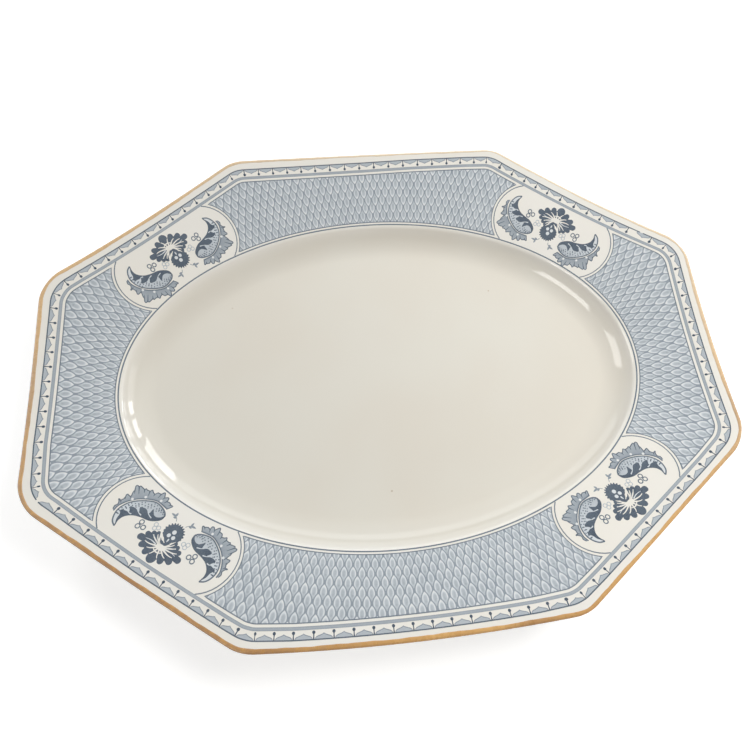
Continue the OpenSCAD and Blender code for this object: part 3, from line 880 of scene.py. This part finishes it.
def placed(sheets, origin, along=(1, 0), inward=(0, 1)):
    """Sheets moved to an origin and turned to the two ways given"""
    return [Sheet(origin + s.xy[:, :1] * along + s.xy[:, 1:] * inward,
                  s.faces, s.ink, s.lift, s.lattice) for s in sheets]


SPRAY = spray_half(1) + spray_half(-1) + placed(flower(), HEART) + placed(bud(), BUD)


def make_cartouche(s, name):
    rows = stretch(s, CARTOUCHE_LINE_R, BAND_TO, CARTOUCHE_LINE_D, 60, across=16, power=1)
    sheets = [patch(rows, CREAM, GROUND_LIFT)]
    sheets += [stroke(row, CARTOUCHE_LINE_T, DEEP, DRAW_LIFT) for row in (rows[0], rows[-1])]
    toward_long = 1 if s % 4 == 0 else -1
    shift, inwards = SPRAY_SHIFTS[s]
    origin = side_point(s, SPRAY_W + inwards, toward_long * shift)
    along = toward_long * heading(facing(s) + math.pi / 2)
    return lay(name, sheets + placed(SPRAY, origin, along, -heading(facing(s))))


# The border: pins and lunettes set out by Geometry Nodes on a flat strip, then laid on the rim

# A lunette's rise from its end to the nub at its middle, by its share of the half length
LUNETTE_RISE = ((0, 1.06), (0.08, 0.95), (0.25, 0.82), (0.5, 0.68), (0.75, 0.55), (0.93, 0.38),
                (1, 0))
# Pins round the outline, as lengths from its start: one by one at first, then in even runs that go
# on from the pin before, each given by its last pin and its number of steps
BACK_RIGHT_PINS = (19.7, 28.4, 36.4, 44.6, 53.0, 62.0, 70.6, 78.3, 86.0, 94.4, 102.7)
BACK_PIN_RUNS = (114.3, (138.9, 3), (217.8, 9), (258.9, 5), (270.5, 1), (377.3, 13), (388.6, 1),
                 (398.2, 1), (492.1, 12))
FRONT_PIN_RUNS = (512.0, (571.8, 7), (612.1, 5), (623.5, 1), (640.1, 2), (763.9, 14), (774.7, 1),
                  (784.3, 1), (816.0, 4), (857.8, 5), (884.2, 3), (895.4, 1), (904.8, 1),
                  (942.7, 5), (990.5, 6), (1010.1, 2), (1019.4, 1))


def lunette(first, last):
    """A lunette on the dark line, on a flat strip between two lengths along it"""
    half, middle = (last - first) / 2 - LUNETTE_GAP, (first + last) / 2
    u = np.linspace(-1, 1, 33)
    arch = (LUNETTE_W - DARK_LINE_W) * np.interp(np.abs(u), *zip(*LUNETTE_RISE))
    foot_line = np.c_[middle + half * u, np.full(len(u), DARK_LINE_W)]
    top_line = np.c_[middle + half * u, DARK_LINE_W + arch]
    return [loft(foot_line, top_line, 4, GREY - 0.08, FILL_LIFT),
            stroke(top_line, LUNETTE_LINE_T, MID, DRAW_LIFT)]


def border_pattern():
    """A pin and the lunette after it: along a flat strip, in from the lip's edge, and lift"""
    stem = [(0, w) for w in (DARK_LINE_W, (DARK_LINE_W + PIN_HEAD_W) / 2, PIN_HEAD_W)]
    xy, lift, ink, _, faces = joined([*lunette(0, PIN_PITCH),
                                      stroke(stem, PIN_STEM_TS, DARK - 0.06, DRAW_LIFT),
                                      disc((0, PIN_HEAD_W), PIN_HEAD_R, DARK, FINE_LIFT, 12)])
    return finish_mesh("border_pattern", np.c_[xy, lift] / MM, faces, ink=ink)


def border_tree():
    """Sets the pattern on each point of the strip, as long as the way to the next pin"""
    tree, given, made = new_group(
        "Border of pins and lunettes",
        {"Strip": "Geometry", "Pattern": "Object", "Pattern length": "Float", "Finish": "Material"},
        {"Strip": "Geometry"}, "GeometryNodeTree")
    pitch = tree.nodes.new("GeometryNodeInputNamedAttribute")
    pitch.data_type = "FLOAT"
    fill(pitch, Name="pitch")
    share = Value(pitch.outputs["Attribute"]) / given["Pattern length"]
    scale = add_node(tree, "ShaderNodeCombineXYZ", X=share, Y=1, Z=1)
    pattern = add_node(tree, "GeometryNodeObjectInfo", Object=given["Pattern"])
    on_points = add_node(tree, "GeometryNodeInstanceOnPoints", Points=given["Strip"],
                         Instance=pattern.outputs["Geometry"], Scale=scale.outputs["Vector"])
    real = add_node(tree, "GeometryNodeRealizeInstances", Geometry=on_points.outputs["Instances"])
    finish = add_node(tree, "GeometryNodeSetMaterial", Geometry=real.outputs["Geometry"],
                      Material=given["Finish"])
    feed(made["Strip"], finish.outputs["Geometry"])
    return tree


def run_of_pins(first, *runs):
    pins = [first]
    for last, steps in runs:
        pins.extend(np.linspace(pins[-1], last, steps + 1)[1:])
    return pins


def pattern_sheet(pins, tree, pattern, material):
    """The pins and lunettes of one length of the border, realized and read back as one sheet"""
    mesh = bpy.data.meshes.new("border_points")
    mesh.from_pydata([(float(t), 0, 0) for t in pins], [], [])
    pitch = np.r_[np.diff(pins), np.diff(pins)[-1:]].astype(np.float32)
    mesh.attributes.new("pitch", "FLOAT", "POINT").data.foreach_set("value", pitch)
    strip = add_object("border_points", mesh)
    modifier = strip.modifiers.new("Border", "NODES")
    modifier.node_group = tree
    given = {"Pattern": pattern, "Pattern length": PIN_PITCH, "Finish": material}
    for socket in tree.interface.items_tree:
        if socket.in_out == "INPUT" and socket.name in given:
            modifier[socket.identifier] = given[socket.name]
    evaluated = strip.evaluated_get(bpy.context.evaluated_depsgraph_get())
    made = bpy.data.meshes.new_from_object(evaluated)
    t, w, lift = read_all(made.vertices, "co", width=3).reshape(-1, 3).T
    faces = read_all(made.loops, "vertex_index", int).reshape(-1, 3)
    ink = read_all(made.attributes["ink"].data, "value")
    strip.modifiers.clear()
    bpy.data.objects.remove(strip)
    bpy.data.meshes.remove(made)
    return Sheet(laid(t, w), faces, ink, lift)


def make_border(name, first, last, pins, tree, pattern, material):
    """One length of the border. It starts with a lunette of its own where there is room before the
    first pin, and its dark line stops short of its ends"""
    count = int((last - first) / PRINT_STEP)
    t = np.linspace(first, last, count)
    ground = laid_rows(t, np.linspace(GROUND_FROM, GROUND_TO, 4))
    line = laid(np.linspace(first + START_GAP, last - END_GAP, count), DARK_LINE_W)
    sheets = [patch(ground, CREAM, GROUND_LIFT),
              stroke(line, DARK_LINE_T, DARK - 0.08, DRAW_LIFT),
              pattern_sheet(pins, tree, pattern, material)]
    if pins[0] - first > PIN_PITCH:
        sheets += [Sheet(laid(*s.xy.T), s.faces, s.ink, s.lift)
                   for s in lunette(first + START_GAP, pins[0])]
    return lay(name, sheets)


def make_band(name, first, last):
    t = np.linspace(first, last, int((last - first) / PRINT_STEP))
    body = laid_rows(t, (BAND_FROM, (BAND_FROM + BAND_TO) / 2, BAND_TO))
    return lay(name, [patch(body, GREY, GROUND_LIFT),
                      *(stroke(laid(t, w), BAND_LINE_T, MID - 0.06, DRAW_LIFT)
                        for w in (BAND_FROM + BAND_LINE_T / 2, BAND_TO - BAND_LINE_T / 2))])


def make_well_line(name, first, last):
    """The dark line round the well between two of the oval's own angles, in steps as on a circle of
    about its size"""
    about_r = 120
    angle = np.linspace(first, last, int((last - first) * about_r / PRINT_STEP))
    return lay(name, [stroke(oval(angle, WELL_LINE_D), WELL_LINE_T, DEEP, DRAW_LIFT)])


# Colours and materials

def linear(red, green, blue):
    """A colour written in the 0 to 255 of a screen, as Blender's linear colour"""
    def channel(v):
        v /= 255
        return v / 12.92 if v <= 0.04045 else ((v + 0.055) / 1.055) ** 2.4
    return (*(channel(v) for v in (red, green, blue)), 1)


RIM_CREAM, RIM_WARM = linear(234, 231, 224), linear(232, 227, 216)
# The well's creams are darker and greyer than the rim's: painted shade in the well, and partly
# glaze pooled thicker there
SHADED_WELL_CREAM, SHADED_WELL_WARM = linear(222, 218, 207), linear(219, 212, 199)
FINE_SPECK, WELL_SPECK, BISCUIT = linear(170, 140, 105), linear(150, 122, 84), linear(216, 203, 180)
# The print's colour by the density of its ink
INK_STOPS = ((0, linear(236, 235, 231)), (0.2, linear(204, 210, 215)),
             (0.45, linear(162, 170, 177)), (0.8, linear(108, 120, 132)), (1, linear(68, 81, 96)))
OCHRE, LIGHT_OCHRE = linear(190, 142, 82), linear(212, 166, 102)
BROWN_ENAMEL, THIN_ENAMEL_AND_HIGHLIGHT = linear(140, 100, 66), linear(230, 216, 192)
# Where the brown speck lies in the well's glaze, in millimetres
WELL_SPECK_AT = (-2.5, -62.9)
# A fish scale: its length in rows, half its width in columns, and the ink of its outline and of the
# gaps between scales
SCALE_L, SCALE_HALF = 1.7, 0.41
SCALE_LINE_INK, SCALE_GAP_INK = 0.6, 0.52


def glaze_group():
    """The clay seen through its clear glaze: cream, warmer in patches, with a few specks"""
    group, given, made = new_group(
        "Cream glaze", {"Place": "Vector", "Cream": "Color", "Warm": "Color"},
        {"Colour": "Color", "Roughness": "Float", "Ripple": "Float"})
    place = given["Place"]
    patches = noise(place, 14, 2).step(0.35, 0.7)
    warm = mixed(patches * 0.55, given["Cream"], given["Warm"])
    dots = add_node(group, "ShaderNodeTexVoronoi", Vector=place, Scale=55)
    rare = noise(place, 31, 0).step(0.68, 0.72)
    specks = (1 - Value(dots.outputs["Distance"]).step(0.022, 0.03)) * rare
    feed(made["Colour"], mixed(specks * 0.45, warm, FINE_SPECK))
    feed(made["Roughness"], noise(place, 60, 3) * 0.04 + 0.03)
    feed(made["Ripple"], noise(place, 22, 1) + noise(place, 260, 2) * 0.08)
    return group


def ink_group():
    """The colour of the blue print for an ink density from 0 to 1"""
    group, given, made = new_group(
        "Blue print", {"Ink": "Float", "Place": "Vector", "Ground": "Color"}, {"Colour": "Color"})
    place = given["Place"]
    grain = (noise(place, 1500, 2) - 0.5) * 0.22 + (noise(place, 90, 2) - 0.5) * 0.16
    density = Value(given["Ink"]) * (grain + 1)
    ramp = add_node(group, "ShaderNodeValToRGB", Fac=density)
    stops = ramp.color_ramp.elements
    while len(stops) < len(INK_STOPS):
        stops.new(0.5)
    for stop, (position, colour) in zip(stops, INK_STOPS):
        stop.position, stop.color = position, colour
    covered = density.step(0.0, 0.12)
    feed(made["Colour"], mixed(covered, given["Ground"], ramp.outputs["Color"]))
    return group


def scale_group():
    """Ink density of the fish-scale ground. Cell counts columns and rows, and each scale's tip
    points to the well"""
    group, given, made = new_group("Fish scale", {"Cell": "Vector"}, {"Ink": "Float"})
    u, v, _ = axes(given["Cell"])
    row = v.floor()
    odd = row - (row * 0.5).floor() * 2
    behind = v - row

    def off_centre(shift):
        moved = u + odd * 0.5 + shift
        return abs(moved - moved.floor() - 0.5)

    def half_width(b):
        """Half of a scale's width at b rows behind its tip"""
        bow = b * (SCALE_L - b) / (SCALE_L / 2) ** 2
        return bow.largest(0.0001) ** 0.82 * SCALE_HALF

    def outline(x, b, half):
        slope = (b * -2 + SCALE_L) * SCALE_HALF * (half / SCALE_HALF).largest(0.05) ** -0.22
        return 1 - (abs(x - half) / (slope * slope + 1).root()).step(0.02, 0.1)

    near, far = off_centre(0.5), off_centre(0.0)
    near_half, far_half = half_width(behind), half_width(behind + 1)
    in_near, in_far = near.under(near_half), far.under(far_half)
    line = outline(near, behind, near_half).largest(outline(far, behind + 1, far_half) - in_near)
    # The place in the scale that is seen: one of this row, or of the row before it
    across = far.mix(near, in_near)
    along = (behind + 1).mix(behind, in_near)
    core = 1 - ((across * 3.6) ** 2 + ((along - 0.8) * 1.9) ** 2).step(0.1, 1.1)
    cell = add_node(group, "ShaderNodeCombineXYZ", X=(u + odd * 0.5).floor(), Y=row)
    each = add_node(group, "ShaderNodeTexWhiteNoise", Vector=cell.outputs["Vector"])
    each.noise_dimensions = "2D"
    tone = (core * 0.25 + along.step(0.8, 1.6) * 0.26 + 0.09
            + Value(each.outputs["Value"]) * 0.06)
    ground = (tone - SCALE_GAP_INK) * in_near.largest(in_far) + SCALE_GAP_INK
    feed(made["Ink"], ground.mix(SCALE_LINE_INK, line))
    return group


def new_material(name):
    """A material, its node tree and shader, and the place on the piece"""
    material = bpy.data.materials.new(name)
    material.use_nodes = True
    tree = material.node_tree
    place = tree.nodes.new("ShaderNodeTexCoord").outputs["Object"]
    return material, tree, tree.nodes["Principled BSDF"], place


def attribute(tree, name, output="Fac"):
    node = tree.nodes.new("ShaderNodeAttribute")
    node.attribute_name = name
    return node.outputs[output]


def ripple(shader, height, strength, distance):
    bump = add_node(shader.id_data, "ShaderNodeBump", Height=height, Strength=strength,
                    Distance=distance)
    fill(shader, Normal=bump.outputs["Normal"])


def glaze_finish(shader, glazed):
    """Gloss and the slight ripple of the glaze, shared by the clay and the print under it"""
    fill(shader, Roughness=glazed["Roughness"], IOR=1.5)
    ripple(shader, glazed["Ripple"], strength=0.25, distance=0.0004)


def body_material(glaze):
    material, tree, shader, place = new_material("Cream glazed earthenware")
    x, y, height = axes(place)
    # The darker cream below the rim is painted shade in the well, and partly glaze pooled thicker
    # there
    on_rim = height.step(WELL_EDGE_Z * MM * 0.6, WELL_EDGE_Z * MM)
    off_x, off_y = (v - at * MM for v, at in zip((x, y), WELL_SPECK_AT))
    speck = 0.5 - (off_x * off_x + off_y * off_y).root().step(0.0002, 0.0007) * 0.5
    glazed = use_group(tree, glaze, Place=place, Cream=mixed(on_rim, SHADED_WELL_CREAM, RIM_CREAM),
                       Warm=mixed(on_rim, SHADED_WELL_WARM, RIM_WARM))
    # Only the foot ring's resting edge is left without glaze
    biscuit = 1 - height.step(0.0002, 0.0006)
    specked = mixed(speck, glazed["Colour"], WELL_SPECK)
    fill(shader, Base_Color=mixed(biscuit, specked, BISCUIT))
    glaze_finish(shader, glazed)
    return material


def print_material(name, glaze, printed, scales=None):
    """A print under the glaze. With scales, its ground is inked by the lattice, and the line drawn
    round it keeps its own ink"""
    material, tree, shader, place = new_material(name)
    glazed = use_group(tree, glaze, Place=place, Cream=RIM_CREAM, Warm=RIM_WARM)
    ink = attribute(tree, "ink")
    if scales:
        cell = attribute(tree, "lattice", "Vector")
        on_ground = axes(cell)[2]
        ink = Value(ink).mix(Value(use_group(tree, scales, Cell=cell)["Ink"]), on_ground)
    blue = use_group(tree, printed, Ink=ink, Place=place, Ground=glazed["Colour"])
    fill(shader, Base_Color=blue["Colour"])
    glaze_finish(shader, glazed)
    return material


def enamel_material():
    """Ochre enamel brushed on by hand: thicker and thinner, browner in worn patches and towards the
    front left
    """
    material, tree, shader, place = new_material("Ochre enamel")
    thick = noise(place, 45, 3).step(0.3, 0.7)
    streak = noise(place, 420, 2)
    tone = mixed(thick * 0.7 + streak * 0.3, OCHRE, LIGHT_OCHRE)
    x, y, _ = axes(place)
    # From 100 to 150 mm off the middle, towards the front left
    low_left = (x * -0.6 - y * 0.8).step(0.1, 0.15)
    worn = noise(place, 16, 1).step(0.56, 0.68) * 0.5
    brown = worn.largest(low_left * (streak.step(0.3, 0.6) * 0.5 + 0.1))
    # Thin enamel is painted pale, and on the back sides this paleness is partly a painted highlight
    brushed = Value(attribute(tree, "ink")).step(-0.15, 1.0)
    full = mixed(brown, tone, BROWN_ENAMEL)
    fill(shader, Base_Color=mixed(brushed, THIN_ENAMEL_AND_HIGHLIGHT, full), Roughness=streak * 0.16 + 0.2)
    ripple(shader, streak, strength=0.3, distance=0.0002)
    return material


# The room: a pale floor, soft light all round, and the windows and walls that the glaze mirrors

FLOOR_HALF, FLOOR_GLOW, ROOM_LIGHT = 3.0, 0.55, 0.3
FLOOR_GREY, ROOM_WHITE = linear(226, 226, 226), (0.97, 0.98, 1.0, 1)
# Lamps, each with its compass angle, height angle, distance, size, power and colour: first those
# that light the platter and don't show in the glaze, then those that only show in it
COOL, WARM, PLAIN = (0.95, 0.98, 1.0), (1.0, 0.9, 0.76), (1.0, 0.99, 0.97)
SOFT_LAMPS = {"Lamp over the right": (18, 58, 0.6, (0.22, 0.22), 1.75, PLAIN),
              "Lamp at the back left": (125, 35, 1.0, (0.3, 0.3), 2.1, COOL),
              "Lamp at the right": (24, 25, 0.8, (0.3, 0.3), 1.2, COOL),
              "Lamp at the back": (88, 27, 1.0, (0.3, 0.3), 0.7, COOL),
              "Lamp at the front": (-110, 42, 1.0, (0.3, 0.3), 1.1, WARM)}
MIRRORED_LAMPS = {"Window, right pane": (28.5, 12, 3, (0.42, 0.9), 12, PLAIN),
                  "Window, middle pane": (41, 12, 3, (0.52, 1.0), 15, PLAIN),
                  "Window, left pane": (58.5, 19.5, 3, (0.79, 1.5), 25, PLAIN),
                  "Bright wall at the back": (88, 14, 3, (3.4, 1.8), 28, COOL),
                  "Bright wall at the right": (14, 14, 3, (1.4, 1.6), 9, PLAIN),
                  "Window at the left": (164, 42, 3, (1.3, 1.35), 26, PLAIN),
                  "Window at the front left": (-137, 50, 3, (1.2, 0.85), 20, PLAIN)}
CAMERA_AT, CAMERA_TURN = (-0.027816, -0.092644, 0.287548), (18.8546, -2.7401, -5.625)
CAMERA_LENS, CAMERA_SENSOR = 25.44, 36


def camera_share(tree):
    """1 for what the camera sees directly, in a mirror or through glass"""
    rays = tree.nodes.new("ShaderNodeLightPath").outputs
    seen = Value(rays["Is Camera Ray"]).largest(Value(rays["Is Glossy Ray"]))
    return seen.largest(Value(rays["Is Transmission Ray"]))


def make_floor():
    mesh = bpy.data.meshes.new("floor")
    corners = [(x * FLOOR_HALF, y * FLOOR_HALF, 0) for x, y in ((-1, -1), (1, -1), (1, 1), (-1, 1))]
    mesh.from_pydata(corners, [], [(0, 1, 2, 3)])
    material, tree, shader, _ = new_material("Pale floor")
    fill(shader, Base_Color=FLOOR_GREY, Roughness=0.9, Emission_Color=(1, 1, 1, 1),
         Emission_Strength=camera_share(tree) * FLOOR_GLOW)
    mesh.materials.append(material)
    add_object("floor", mesh)


def make_world():
    world = bpy.data.worlds.new("Soft room")
    bpy.context.scene.world = world
    world.use_nodes = True
    tree = world.node_tree
    fill(tree.nodes["Background"], Color=ROOM_WHITE,
         Strength=camera_share(tree) * (1 - ROOM_LIGHT) + ROOM_LIGHT)


def area_light(name, azimuth, elevation, distance, size, power, colour):
    """A soft lamp, seen from the platter at a compass angle and a height, facing it"""
    lamp = bpy.data.lights.new(name, "AREA")
    lamp.shape = "RECTANGLE"
    lamp.size, lamp.size_y = size
    lamp.energy = power
    lamp.color = colour
    obj = add_object(name, lamp)
    az, el = math.radians(azimuth), math.radians(elevation)
    obj.location = (distance * math.cos(el) * math.cos(az), distance * math.cos(el) * math.sin(az),
                    distance * math.sin(el))
    obj.rotation_euler = (math.pi / 2 - el, 0, az + math.pi / 2)
    obj.visible_camera = False
    return obj


def make_camera():
    data = bpy.data.cameras.new("photo_view")
    data.lens, data.sensor_width = CAMERA_LENS, CAMERA_SENSOR
    data.clip_start, data.clip_end = 0.01, 20
    camera = add_object("photo_view", data)
    camera.location = CAMERA_AT
    camera.rotation_euler = [math.radians(v) for v in CAMERA_TURN]
    bpy.context.scene.camera = camera


def dress():
    """Makes every piece, gives it its finish and sets it on the frame"""
    glaze, printed = glaze_group(), ink_group()
    blue = print_material("Blue print under glaze", glaze, printed)
    scales = print_material("Fish-scale print under glaze", glaze, printed, scale_group())
    pattern, tree = border_pattern(), border_tree()
    lengths = (("back_left", RIGHT_SEAM_T, LEFT_SEAM_T),
               ("front_right", LEFT_SEAM_T, ROUND + RIGHT_SEAM_T))
    pins = ([*BACK_RIGHT_PINS, *run_of_pins(*BACK_PIN_RUNS)], run_of_pins(*FRONT_PIN_RUNS))
    first, turned = (float(foot_angle(edge(t, 0))) for t in (WELL_SEAM_T, LEFT_SEAM_T))
    well_seams = (first, first + (turned - first) % TURN, first + TURN)
    pieces = [(make_body(), "platter_body", "glazed_earthenware", body_material(glaze)),
              (make_lip_line(), "lip_line", "ochre_enamel", enamel_material())]
    for (where, start, end), its_pins in zip(lengths, pins):
        border = make_border("border_print_" + where, start, end, its_pins, tree, pattern, blue)
        pieces.append((border, "border_" + where, "blue_line_print", blue))
    bpy.data.objects.remove(pattern)
    for where, start, end in lengths:
        band = make_band("band_print_" + where, start, end)
        pieces.append((band, "band_" + where, "blue_line_print", blue))
    for (where, _, _), start, end in zip(lengths, well_seams, well_seams[1:]):
        line = make_well_line("well_line_print_" + where, start, end)
        pieces.append((line, "well_line_" + where, "blue_line_print", blue))
    for s, where in zip((1, 3, 5, 7), ("back", "left", "front", "right")):
        panel = make_scale_panel(s, "scale_print_" + where)
        pieces.append((panel, "scale_panel_" + where, "blue_scale_print", scales))
    for s, where in zip((0, 2, 4, 6), ("back_right", "back_left", "front_left", "front_right")):
        cartouche = make_cartouche(s, "flower_print_" + where)
        pieces.append((cartouche, "cartouche_" + where, "flower_print", blue))
    for piece, node, slot, material in pieces:
        piece.data.materials.append(material)
        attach(piece, "root")
        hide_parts(node)


dress()
make_floor()
make_world()
for name, light in SOFT_LAMPS.items():
    area_light(name, *light).visible_glossy = False
for name, light in MIRRORED_LAMPS.items():
    area_light(name, *light).visible_diffuse = False
make_camera()
bpy.context.scene.view_settings.view_transform = "Standard"
